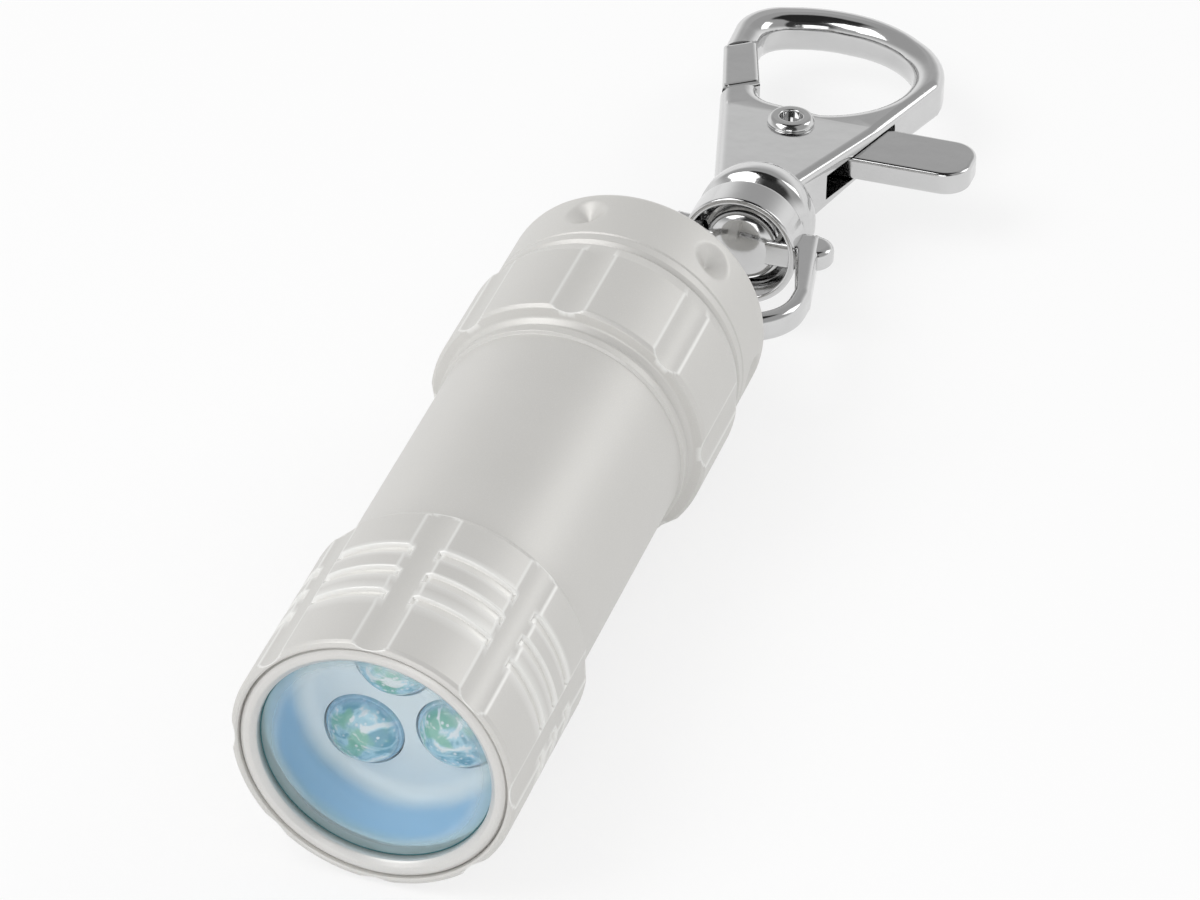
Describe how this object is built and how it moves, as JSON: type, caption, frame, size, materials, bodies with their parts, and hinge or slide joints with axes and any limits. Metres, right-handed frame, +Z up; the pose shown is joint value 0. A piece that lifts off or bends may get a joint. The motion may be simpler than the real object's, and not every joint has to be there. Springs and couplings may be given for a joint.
{
  "type": "keychain flashlight",
  "caption": "Small round metal torch with a fluted head and collar, clustered lamps behind a clear lens, a screw-on tail cap and a swivelling trigger snap hook.",
  "frame": {"origin": "on the table under the middle of the whole object's box", "axes": "+Y runs along the torch from the lens to the tail and the hook, +Z is up from the table, +X is to the right seen from behind the lens"},
  "size_m": [0.026, 0.1014, 0.0199],
  "materials": {
    "anodised_aluminium": "satin clear-anodised aluminium",
    "bright_aluminium": "turned bright aluminium",
    "clear_lens": "clear moulded lens",
    "black_rubber": "matt black rubber",
    "mirror_cup": "aluminised cup that looks pale blue",
    "lamp_resin": "clear bluish resin",
    "white_plastic": "white moulding",
    "green_board": "green lacquered board",
    "tinned_steel": "tinned leads",
    "brass": "plain brass",
    "cell_steel": "nickel-plated steel",
    "black_plastic": "black tube",
    "spring_steel": "spring wire",
    "bright_nickel": "bright nickel plating"
  },
  "bodies": {
    "torch": {"barrel": "anodised_aluminium", "bezel_ring": "bright_aluminium", "lens": "clear_lens", "lens_seal": "black_rubber", "reflector": "mirror_cup", "led_1": "lamp_resin", "led_2": "lamp_resin", "led_3": "lamp_resin", "led_holder": "white_plastic", "circuit_board": "green_board", "led_leads": "tinned_steel", "board_contact": "brass", "cell_1": "cell_steel", "cell_2": "cell_steel", "cell_3": "cell_steel", "cell_4": "cell_steel", "battery_sleeve": "black_plastic", "tail_spring": "spring_steel"},
    "thread_carrier": {"cap_seal": "black_rubber"},
    "cap": {"tail_cap": "anodised_aluminium", "tail_contact": "brass"},
    "bail": {"bail": "bright_nickel"},
    "hook": {"hook_body": "bright_nickel", "swivel_pin": "bright_nickel", "gate_rivet": "bright_nickel", "gate_spring": "spring_steel"},
    "lever": {"gate_lever": "bright_nickel"}
  },
  "joints": [
    {"name": "cap_travel", "type": "slide", "parent": "torch", "child": "thread_carrier", "axis": [0, 1, 0], "range_m": [0, 0.00375], "deforming": ["tail_spring"]},
    {"name": "cap_turn", "type": "hinge", "parent": "thread_carrier", "child": "cap", "pos_m": [-0.00311, 0, 0.00993], "axis": [0, 1, 0], "range_deg": [0, 1800]},
    {"name": "bail_swing", "type": "hinge", "parent": "cap", "child": "bail", "pos_m": [0.00049, 0.00543, 0.00783], "axis": [0.9998, 0.0175, 0], "range_deg": [-70, 70]},
    {"name": "swivel", "type": "hinge", "parent": "bail", "child": "hook", "pos_m": [0.00026, 0.01869, 0.00679], "axis": [-0.0174, 0.9968, -0.0785], "continuous": true},
    {"name": "gate_swing", "type": "hinge", "parent": "hook", "child": "lever", "pos_m": [-0.00087, 0.03203, 0.00573], "axis": [-0.0014, 0.0784, 0.9969], "range_deg": [-28, 0], "stiffness_Nm_per_rad": 0.03, "springref_deg": 14.32, "deforming": ["gate_spring"]}
  ],
  "couplings": [
    {"joint": "cap_travel", "follows": "cap_turn", "m_per_rad": 0.00011937}
  ]
}
